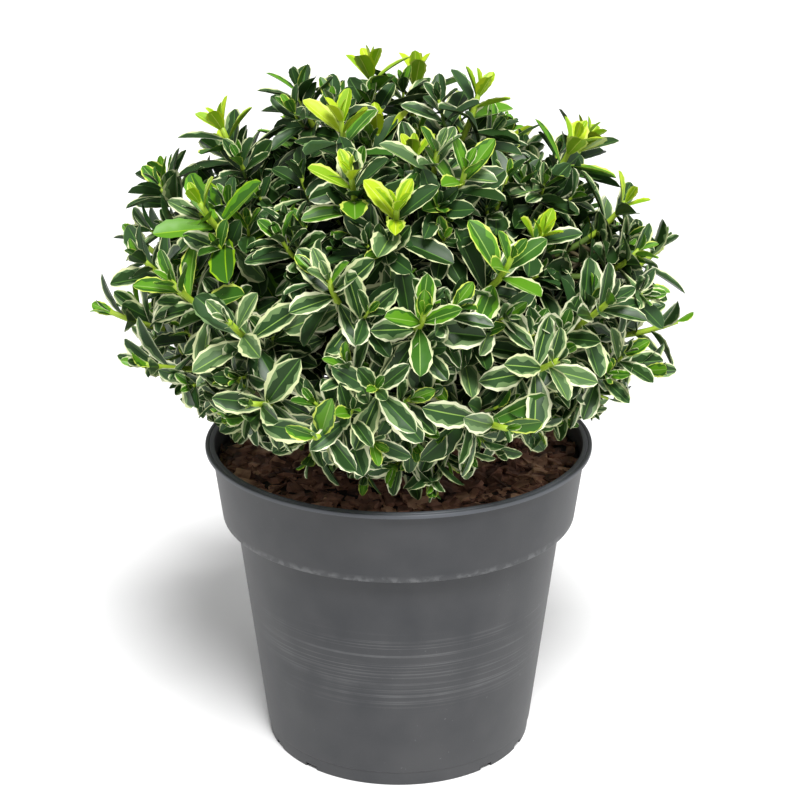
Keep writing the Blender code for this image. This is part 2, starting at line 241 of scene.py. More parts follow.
def pot_outline():
    """Radius and height of the pot's wall, round from the inner floor to the pad below."""
    inner_rim = (COLLAR_TOP[0] - WALL, RIM_HEIGHT)
    corners = [
        ((0.0, FLOOR), 0.0),
        ((RING[0] - WALL, FLOOR), 1.5 * MM),
        ((BODY_TOP[0] - WALL, BODY_TOP[1] + WALL), 1.2 * MM),
        ((COLLAR_FOOT[0] - WALL, COLLAR_FOOT[1] + WALL), 1.2 * MM),
        (inner_rim, 0.8 * MM),
        ((GROOVE_RADIUS - GROOVE, RIM_HEIGHT), 0.2 * MM),
        ((GROOVE_RADIUS, RIM_HEIGHT - GROOVE), 0.1 * MM),
        ((GROOVE_RADIUS + GROOVE, RIM_HEIGHT), 0.2 * MM),
        ((RIM_RADIUS, RIM_HEIGHT), 0.9 * MM),
        ((RIM_RADIUS, COLLAR_TOP[1]), 0.5 * MM),
        (COLLAR_TOP, 0.6 * MM),
        (COLLAR_FOOT, 0.8 * MM),
        (BODY_TOP, 0.8 * MM),
        (RING, 0.3 * MM),
        ((RING[0] - 0.7 * MM, RING[1] - 0.7 * MM), 0.2 * MM),
        (FOOT, 0.5 * MM),
        ((FOOT[0] - FOOT_WIDTH, 0.0), 0.5 * MM),
        ((FOOT[0] - FOOT_WIDTH, UNDERSIDE), 0.5 * MM),
        ((PAD_RADIUS, UNDERSIDE), 0.5 * MM),
        ((PAD_RADIUS, 0.0), 0.3 * MM),
        ((0.0, 0.0), 0.0),
    ]
    outline = []
    for index, (corner, radius) in enumerate(corners):
        if radius == 0.0:
            outline.append(Vector(corner))
            continue
        outline += rounded(corner, corners[index - 1][0], corners[index + 1][0], radius)
    return outline


def spin(outline):
    """Points and faces of an outline turned about the upright axis, closed at both poles."""
    points = [(0.0, 0.0, outline[0].y)]
    for point in outline[1:-1]:
        for segment in range(SEGMENTS):
            turn = math.tau * segment / SEGMENTS
            points.append((point.x * math.cos(turn), point.x * math.sin(turn), point.y))
    points.append((0.0, 0.0, outline[-1].y))
    faces = []
    last = len(points) - 1
    rings = len(outline) - 2
    for segment in range(SEGMENTS):
        nearby = (segment + 1) % SEGMENTS
        faces.append((0, 1 + segment, 1 + nearby))
        for ring in range(rings - 1):
            low = 1 + ring * SEGMENTS
            high = low + SEGMENTS
            faces.append((low + segment, high + segment, high + nearby, low + nearby))
        low = 1 + (rings - 1) * SEGMENTS
        faces.append((last, low + nearby, low + segment))
    return points, faces


# %% [markdown]
# Moulded plastic is never one grey. Fine rings from the mould and from stacking run round the
# body, the sharp edges are rubbed paler, and dust softens the gloss in patches. The lip is painted
# a paler bluish grey, a painted highlight. Each of these is a mask of height or noise that mixes a
# slightly paler grey into the base or lifts the bump.

# %% Pot finish
SCRATCHED = (0.050, 0.062, 0.098, 0.108)
STEP_EDGE = (0.1425, 0.1448, 0.1462, 0.1492)
# Painted highlight on the lip: the heights where it starts, and below its paler bluish grey
LIP_HIGHLIGHT_HEIGHTS = (0.1868, 0.1880)
PLASTIC = (0.021, 0.023, 0.027)
PLASTIC_PALE = (0.044, 0.045, 0.048)
LIP_HIGHLIGHT = (0.085, 0.092, 0.106)
SCUFF = (0.26, 0.265, 0.27)


def pot_finish():
    made = Finish("pot_plastic_scuffed", PLASTIC, 0.5)
    height = made.axes()[2]
    flat = made.node("ShaderNodeMapping", 0, None, Vector=made.place(), Scale=(4.0, 4.0, 900.0))
    lines = made.noise(1.0, 4.0, flat)
    rub = made.noise(38.0, 5.0)
    cloud = made.noise(9.0, 3.0)
    speck = made.noise(420.0, 2.0)
    middle = made.belt(height, SCRATCHED)
    edge = made.belt(height, STEP_EDGE)
    # Painted highlight: from this band upwards the lip turns a paler bluish grey
    lip_highlight = made.band(height, *LIP_HIGHLIGHT_HEIGHTS)
    scratch = made.band(lines, 0.54, 0.66) * middle * made.band(rub, 0.30, 0.62)
    worn = (made.band(made.noise(210.0, 5.0), 0.46, 0.62) * 0.8 + 0.2) * edge
    dots = (speck > 0.735) * made.band(cloud, 0.45, 0.65)
    mottle = made.band(cloud * 0.6 + rub * 0.4, 0.36, 0.64)
    colour = made.mix(mottle, PLASTIC, PLASTIC_PALE)
    colour = made.mix(lip_highlight * 0.8, colour, LIP_HIGHLIGHT)
    colour = made.mix(scratch * 0.24 + worn * 0.30 + dots * 0.30, colour, SCUFF)
    made.drive("Base Color", colour)
    made.drive("Roughness", 0.44 + cloud * 0.16 + scratch * 0.12)
    grain = made.noise(1500.0, 2.0)
    made.bump(grain * 0.25 + lines * middle * 0.3, 0.0004, 0.4)
    return made.material


def build_pot():
    points, faces = spin(pot_outline())
    plastic = pot_finish()
    pot = add_mesh("pot_shell", points, faces, [plastic])
    cutters = []
    for index in range(DRAIN_COUNT):
        turn = math.tau * (index + 0.5) / DRAIN_COUNT
        bm = bmesh.new()
        place = Vector((DRAIN_CIRCLE * math.cos(turn), DRAIN_CIRCLE * math.sin(turn), FLOOR))
        bmesh.ops.create_cone(bm, cap_ends=True, segments=24, radius1=DRAIN_RADIUS,
                              radius2=DRAIN_RADIUS, depth=CUTTER_DEPTH, matrix=Matrix.Translation(place))
        cutters.append(bm)
    sides = [sign * angle for angle in NOTCH_ANGLES for sign in (1, -1)]
    for side in sides + [180 + side for side in sides]:
        bm = bmesh.new()
        turn = Matrix.Rotation(math.radians(side - 90), 4, "Z")
        place = turn @ Matrix.Translation((FOOT[0] - FOOT_WIDTH / 2, 0.0, 0.0))
        bmesh.ops.create_cube(bm, size=1.0, matrix=place @ Matrix.Diagonal((*NOTCH_SIZE, 1.0)))
        cutters.append(bm)
    for bm in cutters:
        mesh = bpy.data.meshes.new("cutter")
        bm.to_mesh(mesh)
        bm.free()
        cutter = bpy.data.objects.new("cutter", mesh)
        bpy.context.scene.collection.objects.link(cutter)
        cut = pot.modifiers.new("Cut", "BOOLEAN")
        cut.operation = "DIFFERENCE"
        cut.solver = "EXACT"
        cut.object = cutter
        evaluated = pot.evaluated_get(bpy.context.evaluated_depsgraph_get())
        pot.data = bpy.data.meshes.new_from_object(evaluated)
        pot.modifiers.remove(cut)
        bpy.data.objects.remove(cutter, do_unlink=True)
    pot.data.set_sharp_from_angle(angle=math.radians(SHARP_ANGLE))
    stands_for(pot, "pot_plastic", "pot")


build_pot()

# %% [markdown]
# The mulch is reddish brown bark, broken into chips a few millimetres across, over dark medium.
# Geometry Nodes scatter one of several chips on each random point of a disc, turn and scale it at
# random, and realise the result. The ground under it is a bumpy sheet of near-black medium: partly
# the medium's own dark, partly painted shade for the deep gaps between the chips.

# %% Mulch
CHIP_COUNT = 1500
CHIP_SIZE = 8.2 * MM
CHIP_SHARES = (0.40, 0.36, 0.24)
SLIVER = (1.9, 0.16, 0.14)
BARK_DARK = (0.070, 0.031, 0.019)
BARK_RED = (0.260, 0.118, 0.070)
BARK_PALE = (0.620, 0.360, 0.225)
RUST = (0.16, 0.070, 0.042)
ROSE = (0.32, 0.155, 0.098)
# Near-black medium: partly its own dark, partly painted shade for the gaps between chips
MEDIUM_DARK_GAP_SHADE = (0.010, 0.006, 0.004)
MEDIUM_PALE_GAP_SHADE = (0.038, 0.018, 0.012)
SOIL_AREA = math.pi * SOIL_RADIUS ** 2
SHEET_LIFT = 1.6 * MM
CHIP_SHAPES = 4
FIRST_SEED = 4


def bark_finish(name, dark, pale):
    made = Finish(name, dark, 0.8)
    grain = made.noise(95.0, 3.0)
    made.drive("Base Color", made.mix(made.band(grain, 0.38, 0.66), dark, pale))
    made.bump(made.noise(900.0, 3.0), 0.0003, 0.5)
    return made.material


CHIP_FINISHES = [
    bark_finish("mulch_brown", BARK_DARK, BARK_RED),
    bark_finish("mulch_red", RUST, ROSE),
    bark_finish("mulch_tan", BARK_RED, BARK_PALE),
]


def chip_mesh(seed, finish):
    """One broken flake of bark: a low block with its corners pushed about, or a sliver."""
    chance = random.Random(seed)
    bm = bmesh.new()
    bmesh.ops.create_cube(bm, size=1.0)
    bmesh.ops.subdivide_edges(bm, edges=bm.edges[:], cuts=1, use_grid_fill=True)
    length = chance.uniform(0.9, 1.5)
    width = chance.uniform(0.55, 0.85)
    height = chance.uniform(0.20, 0.36)
    if seed % 4 == 3:
        length, width, height = SLIVER
    for vert in bm.verts:
        block = vert.co * (1.0 if vert.co.length > 0.8 else 1.08)
        jolt = noise.noise_vector(block * 2.3 + Vector((seed, 0, 0))) * 0.3 * width
        vert.co = Vector((block.x * length, block.y * width, block.z * height)) + jolt
    mesh = bpy.data.meshes.new("chip")
    bm.to_mesh(mesh)
    bm.free()
    mesh.materials.append(finish)
    return bpy.data.objects.new("chip", mesh)


def ground_sheet():
    """Points and faces of a bumpy disc that lies on the filling."""
    rings = 30
    spokes = 96
    points = [(0.0, 0.0, SOIL_HEIGHT + 2 * MM)]
    for ring in range(1, rings + 1):
        radius = SOIL_RADIUS * ring / rings
        for spoke in range(spokes):
            turn = math.tau * spoke / spokes
            x = radius * math.cos(turn)
            y = radius * math.sin(turn)
            rise = noise.noise(Vector((x, y, 0.0)) * 60) * 1.6 * MM
            points.append((x, y, SOIL_HEIGHT + SHEET_LIFT + rise))
    faces = [(0, 1 + spoke, 1 + (spoke + 1) % spokes) for spoke in range(spokes)]
    for ring in range(rings - 1):
        low = 1 + ring * spokes
        for spoke in range(spokes):
            nearby = (spoke + 1) % spokes
            faces.append((low + spoke, low + spokes + spoke, low + spokes + nearby, low + nearby))
    return points, faces


class Tree:
    """A geometry node tree under construction."""

    def __init__(self, name):
        self.group = bpy.data.node_groups.new(name, "GeometryNodeTree")
        self.group.is_modifier = True
        self.sockets = {}
        self.input("Geometry", "NodeSocketGeometry", None)
        self.group.interface.new_socket("Geometry", in_out="OUTPUT", socket_type="NodeSocketGeometry")
        self.start = self.group.nodes.new("NodeGroupInput")
        self.end = self.group.nodes.new("NodeGroupOutput")

    def input(self, name, kind, value):
        made = self.group.interface.new_socket(name, in_out="INPUT", socket_type=kind)
        self.sockets[name] = made.identifier
        if value is not None:
            made.default_value = value

    def node(self, kind, settings=None, **links):
        made = self.group.nodes.new(kind)
        for key, value in (settings or {}).items():
            setattr(made, key, value)
        for key, value in links.items():
            place = made.inputs[key.replace("_", " ")]
            if isinstance(value, bpy.types.NodeSocket):
                self.group.links.new(value, place)
            else:
                place.default_value = value
        return made

    def given(self, name):
        return self.start.outputs[name]


def scatter_tree(collection, finish):
    tree = Tree("Scatter chips")
    tree.input("Count per area", "NodeSocketFloat", CHIP_COUNT / SOIL_AREA)
    tree.input("Chip size", "NodeSocketFloat", CHIP_SIZE)
    tree.input("Seed", "NodeSocketInt", FIRST_SEED)
    points = tree.node("GeometryNodeDistributePointsOnFaces", {"distribute_method": "RANDOM"},
                       Mesh=tree.given("Geometry"), Density=tree.given("Count per area"),
                       Seed=tree.given("Seed"))
    rise = tree.node("FunctionNodeRandomValue", {"data_type": "FLOAT_VECTOR"},
                     Min=(0.0, 0.0, -1.5 * MM), Max=(0.0, 0.0, 2.2 * MM), Seed=tree.given("Seed"))
    lifted = tree.node("GeometryNodeSetPosition", None, Geometry=points.outputs["Points"],
                       Offset=rise.outputs[0])
    chips = tree.node("GeometryNodeCollectionInfo", None, Collection=collection,
                      Separate_Children=True, Reset_Children=True)
    turn = tree.node("FunctionNodeRandomValue", {"data_type": "FLOAT_VECTOR"}, Min=(-0.4, -0.4, 0.0),
                     Max=(0.4, 0.4, math.tau), Seed=tree.given("Seed"))
    size = tree.node("FunctionNodeRandomValue", {"data_type": "FLOAT"}, Seed=tree.given("Seed"))
    size.inputs[2].default_value = 0.55
    size.inputs[3].default_value = 1.25
    scale = tree.node("ShaderNodeMath", {"operation": "MULTIPLY"})
    tree.group.links.new(size.outputs[1], scale.inputs[0])
    tree.group.links.new(tree.given("Chip size"), scale.inputs[1])
    placed = tree.node("GeometryNodeInstanceOnPoints", None, Points=lifted.outputs[0],
                       Instance=chips.outputs[0], Pick_Instance=True, Rotation=turn.outputs[0],
                       Scale=scale.outputs[0])
    real = tree.node("GeometryNodeRealizeInstances", None, Geometry=placed.outputs[0])
    done = tree.node("GeometryNodeSetMaterial", None, Geometry=real.outputs[0], Material=finish)
    tree.group.links.new(done.outputs[0], tree.end.inputs[0])
    return tree


def keep_inside(mesh, limit):
    """Pull the corners that lie beyond a radius back to it, so no chip cuts the pot's wall."""
    bm = bmesh.new()
    bm.from_mesh(mesh)
    for vert in bm.verts:
        reach = math.hypot(vert.co.x, vert.co.y)
        if reach > limit:
            vert.co.x *= limit / reach
            vert.co.y *= limit / reach
    bm.to_mesh(mesh)
    bm.free()


def build_mulch():
    points, faces = ground_sheet()
    # The sheet's near-black is partly the medium's own colour, partly painted shade in the gaps
    soil_and_gap_shade_finish = bark_finish("soil_dark_gap_shade", MEDIUM_DARK_GAP_SHADE, MEDIUM_PALE_GAP_SHADE)
    ground = add_mesh("mulch_ground", points, faces, [soil_and_gap_shade_finish])
    stands_for(ground, "bark_mulch")
    for index, finish in enumerate(CHIP_FINISHES):
        chips = bpy.data.collections.new(f"chips_{index}")
        for shape in range(CHIP_SHAPES):
            chips.objects.link(chip_mesh(10 * index + shape, finish))
        host = add_mesh(f"mulch_chips_{index}", points, faces, [finish])
        tree = scatter_tree(chips, finish)
        made = host.modifiers.new("Scatter", "NODES")
        made.node_group = tree.group
        made[tree.sockets["Seed"]] = FIRST_SEED + index
        made[tree.sockets["Count per area"]] = CHIP_SHARES[index] * CHIP_COUNT / SOIL_AREA
        evaluated = host.evaluated_get(bpy.context.evaluated_depsgraph_get())
        mesh = bpy.data.meshes.new_from_object(evaluated)
        host.modifiers.remove(made)
        host.data = mesh
        mesh.polygons.foreach_set("use_smooth", [False] * len(mesh.polygons))
        keep_inside(mesh, SOIL_RADIUS - 0.3 * MM)
        for chip in list(chips.objects):
            bpy.data.objects.remove(chip, do_unlink=True)
        bpy.data.collections.remove(chips)
        stands_for(host, "bark_mulch")
    # The solid soil gets the same near-black finish, partly painted shade
    for place in bpy.data.objects["soil"].material_slots:
        place.link = "OBJECT"
        place.material = soil_and_gap_shade_finish


build_mulch()

# %% [markdown]
# Under the leaves a short stem with a knuckled head carries woody boughs. Each bough leaves the
# head square to it and bends over to the mass of foliage that it feeds. The same few sizes as in
# the solids fix the limbs here; the wood gets ridges and knots that the plain solids lack.

# %% Growth rule
SEED = 3
STEM_LEAN = Vector((-3 * MM, 2 * MM, 0.0))
HEAD = Vector((STEM_LEAN.x, STEM_LEAN.y, 208 * MM))
HEAD_RADIUS = 15 * MM
CROWN_CENTRE = Vector((-3 * MM, 0.0, 262 * MM))
CROWN_REACH = 169 * MM
CROWN_RISE = 162 * MM
CROWN_DROP = 88 * MM
TIERS = (
    ("low", 7, -2, -90),
    ("mid", 5, 38, -100),
    ("top", 1, 87, 111),
)
BOUGH_SHARE = 0.34
BOUGH_RADII = (2.7 * MM, 1.9 * MM)


def direction(azimuth, elevation):
    around = math.radians(azimuth)
    rise = math.radians(elevation)
    flat = math.cos(rise)
    return Vector((flat * math.cos(around), flat * math.sin(around), math.sin(rise)))


def outline(heading):
    """Distance from the middle of the crown to its outline along a heading."""
    height = CROWN_RISE if heading.z > 0 else CROWN_DROP
    flat = math.hypot(heading.x, heading.y) / CROWN_REACH
    return 1.0 / math.hypot(flat, heading.z / height)


def curve(start, control, end, steps):
    points = []
    for index in range(steps + 1):
        share = index / steps
        points.append(start.lerp(control, share).lerp(control.lerp(end, share), share))
    return points


def bend(start, end, heading, steps):
    """A curve that arrives at its end on a given heading."""
    return curve(start, end - heading * (end - start).length * 0.5, end, steps)


def ring_frame(heading):
    side = heading.cross(UP)
    if side.length < 1e-4:
        side = Vector((1.0, 0.0, 0.0))
    side.normalize()
    return side, heading.cross(side).normalized()


def mass_list():
    masses = []
    for tier, count, elevation, first in TIERS:
        for index in range(count):
            way = direction(first + 360.0 * index / count, elevation)
            masses.append((f"{tier}_{index + 1:02d}", way))
    return masses


def bough_path(way, steps):
    tip = CROWN_CENTRE + way * outline(way) * BOUGH_SHARE
    leaving = ((tip - HEAD).normalized() + way).normalized()
    root = HEAD + leaving * (HEAD_RADIUS - 2 * MM)
    return curve(root, root + leaving * (tip - root).length * 0.45, tip, steps)


MASSES = mass_list()
print("masses of foliage:", len(MASSES))


def tube(path, radii, sides, ridges=0.0, seed=0):
    """Points and faces of a closed tapering tube, with ridges along it where asked."""
    points = []
    count = len(path)
    for index, point in enumerate(path):
        before = path[max(index - 1, 0)]
        after = path[min(index + 1, count - 1)]
        side, over = ring_frame((after - before).normalized())
        for corner in range(sides):
            turn = math.tau * corner / sides
            offset = side * math.cos(turn) + over * math.sin(turn)
            swell = 1.0
            if ridges:
                spot = offset * 2.2 + Vector((seed, 0.0, point.z * 35))
                swell += ridges * noise.noise(spot) + ridges * 0.6 * noise.noise(spot * 3.7)
            points.append(point + offset * radii[index] * swell)
    faces = []
    for ring in range(count - 1):
        low = ring * sides
        for corner in range(sides):
            nearby = (corner + 1) % sides
            faces.append((low + corner, low + nearby, low + sides + nearby, low + sides + corner))
    faces.append(tuple(range(sides - 1, -1, -1)))
    faces.append(tuple(range((count - 1) * sides, count * sides)))
    return points, faces


class Bundle:
    """Points and faces of many small shapes that become one piece."""

    def __init__(self):
        self.points = []
        self.faces = []
        self.kinds = []

    def add(self, points, faces, kinds):
        start = len(self.points)
        self.points.extend(points)
        self.faces.extend([tuple(start + corner for corner in face) for face in faces])
        self.kinds.extend(kinds if hasattr(kinds, "__len__") else [kinds] * len(faces))


# %% [markdown]
# The bark of old wood is grey-brown and furrowed along the limb. A photo could be wrapped round
# it, but noise stretched along the limb gives the same furrows at any distance. The stem's radius
# is a flare at the foot, a plain neck and a round head, so one tube makes all three.

# %% Wood finish and limbs
WOOD = (0.10, 0.075, 0.045)
WOOD_DARK = (0.045, 0.034, 0.020)
WOOD_PALE = (0.190, 0.150, 0.090)
NECK_RADIUS = 10.5 * MM
FLARE = 6.5 * MM
FLARE_FALL = 9
STEM_STEPS = 26
STEM_SIDES = 36
BOUGH_STEPS = 18
BOUGH_SIDES = 12
BOUGH_ROOT = BOUGH_RADII[0] * 1.25


def wood_finish():
    made = Finish("bark_wood", WOOD, 0.8)
    furrows = made.node("ShaderNodeMapping", 0, None, Vector=made.place(), Scale=(260.0, 260.0, 60.0))
    grain = made.noise(1.0, 5.0, furrows)
    made.drive("Base Color", made.mix(made.band(grain, 0.35, 0.68), WOOD_DARK, WOOD_PALE))
    made.bump(grain, 0.0007, 0.8)
    return made.material


def stem_rings():
    """Path and radii of the stem: a flare at the foot, a plain neck and a round head."""
    foot = SOIL_HEIGHT - 1 * MM
    path = []
    radii = []
    for index in range(STEM_STEPS + 1):
        share = index / STEM_STEPS
        height = foot + (HEAD.z + HEAD_RADIUS * 0.96 - foot) * share
        neck = NECK_RADIUS + FLARE * math.exp(-share * FLARE_FALL)
        drop = abs(height - HEAD.z)
        knob = math.sqrt(max(0.0, HEAD_RADIUS ** 2 - drop ** 2))
        path.append(STEM_LEAN * share + UP * height)
        radii.append(max(knob, neck if height < HEAD.z else 0.8 * MM))
    return path, radii


def build_wood():
    wood = wood_finish()
    path, radii = stem_rings()
    points, faces = tube(path, radii, STEM_SIDES, 0.13, 5)
    trunk = add_mesh("stem_wood", points, faces, [wood])
    stands_for(trunk, "stem_bark", "trunk")
    bundle = Bundle()
    radii = [BOUGH_ROOT + (BOUGH_RADII[1] - BOUGH_ROOT) * step / BOUGH_STEPS
             for step in range(BOUGH_STEPS + 1)]
    for index, (_, way) in enumerate(MASSES):
        points, faces = tube(bough_path(way, BOUGH_STEPS), radii, BOUGH_SIDES, 0.16, index)
        bundle.add(points, faces, 0)
    boughs = add_mesh("bough_wood", bundle.points, bundle.faces, [wood])
    stands_for(boughs, "stem_bark", *["bough_" + name for name, _ in MASSES])


build_wood()

# %% [markdown]
# What makes this plant is the colour of its leaves: a green heart, a grey-green flush round it
# and a cream margin, with lime on young growth. A shader could mix these over each leaf, but
# plain colours on strips of the leaf stay the same in every program that opens the model. Each
# kind of leaf names its colours for the heart, flush, margin and midrib.

# %% Leaf colours
COLOURS = {
    "cream": ((0.640, 0.690, 0.370), 0.42),
    "cream_pale": ((0.740, 0.765, 0.500), 0.42),
    "sage": ((0.150, 0.245, 0.090), 0.42),
    "sage_dark": ((0.070, 0.140, 0.045), 0.42),
    "green_deep": ((0.017, 0.050, 0.009), 0.38),
    "green_blue": ((0.025, 0.068, 0.018), 0.38),
    "green_mid": ((0.036, 0.125, 0.009), 0.38),
    "green_bright": ((0.095, 0.260, 0.010), 0.40),
    "lime": ((0.420, 0.560, 0.016), 0.42),
    "lime_deep": ((0.230, 0.410, 0.010), 0.42),
    "lime_pale": ((0.560, 0.670, 0.110), 0.42),
    "rib": ((0.240, 0.400, 0.080), 0.42),
    "rib_dark": ((0.080, 0.190, 0.030), 0.42),
}
COLOUR_NAMES = list(COLOURS)
LEAF_SHINE = 0.26
LEAF_MATERIALS = []
for colour_name in COLOUR_NAMES:
    leaf_finish = Finish("leaf_" + colour_name, *COLOURS[colour_name])
    leaf_finish.shader.inputs["Specular IOR Level"].default_value = LEAF_SHINE
    LEAF_MATERIALS.append(leaf_finish.material)
print("leaf colours:", len(LEAF_MATERIALS))

# Heart, flush, margin and midrib of each kind of leaf, and where heart and flush end
KINDS = {
    "edged": (("green_deep", "green_blue"), ("sage", "sage_dark"), ("cream", "cream_pale"),
              "rib_dark", (0.58, 0.83)),
    "frosted": (("sage_dark", "green_blue"), ("sage", "sage"), ("cream_pale", "cream"),
                "rib", (0.50, 0.80)),
    "dark": (("green_deep", "green_blue"), ("green_blue", "green_deep"), ("cream", "sage", "cream"),
             "rib_dark", (0.62, 0.93)),
    "fresh": (("green_mid", "green_bright"), ("green_bright", "green_mid"), ("lime_pale", "cream"),
              "rib", (0.55, 0.87)),
    "green": (("green_bright", "green_mid"), ("green_bright", "green_mid"),
              ("green_bright", "lime_deep"), "lime_deep", (0.55, 0.88)),
    "lime": (("lime_deep", "lime"), ("lime", "lime_deep"), ("lime", "lime_pale"),
             "lime_pale", (0.50, 0.82)),
}

# %% [markdown]
# A leaf is about 30 mm long, broadest past its middle, folded along a pale midrib and cut into
# shallow teeth. It is built as a small grid whose columns follow the zones of colour, and the
# ragged edge between zones is a random wander of the columns. Each leaf draws its own curl,
# fold and twist, since leaves that are copies of one another give a hedge away at once.

# %% Leaf shape
LEAF_LENGTH = 30.5 * MM
LEAF_WIDTH = 12.4 * MM
ROOT_POWER = 1.0
TIP_POWER = 0.58
STATIONS = 10
TEETH = 0.055
RIB = 0.045
FOLD = 0.42
COLUMNS = 8


def profile(share):
    return share ** ROOT_POWER * (1.0 - share) ** TIP_POWER


def half_width(share):
    """Half width of the blade along its length, as a share of the widest."""
    return profile(share) / profile(ROOT_POWER / (ROOT_POWER + TIP_POWER))


def leaf(root, heading, face, length, width, kind, chance):
    """Points, faces and colours of one leaf."""
    side = heading.cross(face).normalized()
    face = side.cross(heading).normalized()
    hearts, flushes, margins, rib, (heart_end, flush_end) = KINDS[kind]
    heart = chance.choice(hearts)
    flush = chance.choice(flushes)
    margin = chance.choice(margins)
    curl = chance.uniform(0.06, 0.24)
    fold = FOLD * chance.uniform(0.55, 1.25)
    twist = chance.uniform(-0.18, 0.18)
    points = []
    for station in range(STATIONS + 1):
        share = 0.03 + 0.968 * (1.0 - (1.0 - station / STATIONS) ** 1.2)
        reach = half_width(share) * width / 2
        tooth = 1.0 + (TEETH if station % 2 else -TEETH) * min(1.0, share * 2.2)
        inner = [heart_end + chance.uniform(-0.20, 0.20) for _ in range(2)]
        outer = [max(near + 0.04, flush_end + chance.uniform(-0.14, 0.07)) for near in inner]
        along = heading * length * share - face * length * curl * share * share
        turn = twist * share
        lean = side * math.cos(turn) + face * math.sin(turn)
        spots = (-tooth, -outer[0], -inner[0], -RIB, RIB, inner[1], outer[1], tooth)
        for spot in spots:
            lift = abs(spot) * reach * fold - (reach * 0.10 if abs(spot) <= RIB else 0.0)
            points.append(root + along + lean * reach * spot + face * lift)
    strips = [margin, flush, heart, rib, heart, flush, margin]
    colours = [COLOUR_NAMES.index(name) for name in strips]
    faces = []
    kinds = []
    for station in range(STATIONS):
        low = station * COLUMNS
        for column in range(COLUMNS - 1):
            corner = low + column
            faces.append((corner, corner + 1, corner + COLUMNS + 1, corner + COLUMNS))
            kinds.append(colours[column])
    return points, faces, kinds


# %% [markdown]
# Every mass grows by the rule of the solids, carried further: a stem from the bough's tip to the
# crown's outline, shoots along it and short sprigs low on each shoot. The shoots that stand out
# are named in a list by heading and kind, and a spiral fills the gaps between them. A shoot turns
# up towards the light and carries crossed pairs of leaves that open from its tip down. A floor
# for the foliage, lowest at the front, keeps it off the mulch and lets a few shoots hang there.

# %% Shoot sizes and headings
LEADER_SHARE = 0.975
TOP_SHARE = 0.905
SIDE_SHARE = (0.73, 0.84)
SHOOTS = 18
FILLERS = 420
SPREAD = 33
TURN = 137.5
TIP_GAP = 12.0
FILL_GAP = 13.0
LIFT = 0.85
LOW_LIFT = 0.35
LEADER_RADII = (2.4 * MM, 1.6 * MM)
SIDE_RADII = (1.7 * MM, 1.1 * MM)
SPRIG_RADII = (1.2 * MM, 0.8 * MM)
LEADER_PAIRS = 11
PAIRS = 8
SPACING = 8.6 * MM
SIZES = (0.40, 0.62, 0.84, 0.98, 1.04, 1.04, 1.0, 0.98, 0.94, 0.9, 0.86)
OPENINGS = (14, 26, 42, 56, 66, 74, 82, 88, 94, 98, 102)
RIM_CLEAR = RIM_HEIGHT + 4 * MM
INSIDE_RIM = 103 * MM
LOWEST_FILLER = -30
LEAF_REACH = 1.045
HANG_FRONT = 183 * MM
TIP_CLEARANCE = 12 * MM
FEWEST_LEAVES = 8
DROOP = 0.10
LOW_DROOP = 0.42
HANG_SIDES = 205 * MM
HANG_SPREAD = 40
HANG_RADIUS = 104 * MM
HANG_SLOPE = 0.8

# Azimuth, elevation and kind of the shoots that stand out on the crown
LEADERS = (
    (111, 76, "limed"), (-23, 70, "limed"), (-14, 48, "limed"), (-18, 32, "limed"),
    (-176, 69, "dark"), (-115, 64, "limed"), (-175, 51, "limed"), (-144, 36, "green"),
    (-175, 33, "dark"), (-102, 48, "limed"), (-89, 41, "limed"), (-68, 49, "fresh"),
    (-141, 20, "fresh"), (-123, 16, "frosted"), (-103, 26, "frosted"), (-84, 20, "fresh"),
    (-64, 29, "fresh"), (-58, 9, "frosted"), (-69, -2, "fresh"), (-93, 7, "edged"),
    (-104, -3, "fresh"), (-116, 2, "edged"), (-156, 21, "dark"), (-42, 17, "edged"),
    (-25, 23, "dark"), (-75, 54, "frosted"), (20, 40, "limed"), (60, 30, "limed"),
    (100, 38, "limed"), (140, 32, "limed"), (80, 60, "limed"), (5, 15, "edged"),
    (45, 8, "edged"), (85, 12, "edged"), (125, 8, "edged"), (165, 14, "edged"),
    (-172, 5, "edged"), (-150, 1, "edged"), (-166, -12, "edged"), (-8, 3, "edged"),
    (-30, 0, "edged"), (-15, -13, "edged"), (28, -10, "edged"), (65, -8, "edged"),
    (103, -9, "edged"), (145, -9, "edged"), (-100, -34, "frosted"), (-78, -31, "edged"),
    (-118, -27, "edged"), (-133, -10, "edged"), (-50, -14, "edged"),
)
print("named shoots:", len(LEADERS))


def lowest(point):
    """Height that foliage stays above: least at the front, where a few shoots hang over."""
    aside = abs(math.degrees(math.atan2(point.x, -point.y)))
    share = min(1.0, aside / HANG_SPREAD)
    beyond = max(0.0, math.hypot(point.x, point.y) - HANG_RADIUS)
    return HANG_FRONT + (HANG_SIDES - HANG_FRONT) * share + beyond * HANG_SLOPE


def clear_of_pot(points):
    """Whether points stay inside the crown's outline and off the pot and the mulch."""
    for point in points:
        if point.z < lowest(point):
            return False
        if point.z < RIM_CLEAR and math.hypot(point.x, point.y) > INSIDE_RIM:
            return False
        away = point - CROWN_CENTRE
        if away.length > outline(away.normalized()) * LEAF_REACH:
            return False
    return True


def elevation_of(aim):
    return math.degrees(math.asin(aim.z))


def nearest_mass(way):
    return max(range(len(MASSES)), key=lambda index: MASSES[index][1].dot(way))


def spaced(aim, taken, gap):
    return min(math.degrees(aim.angle(other)) for other in taken) > gap


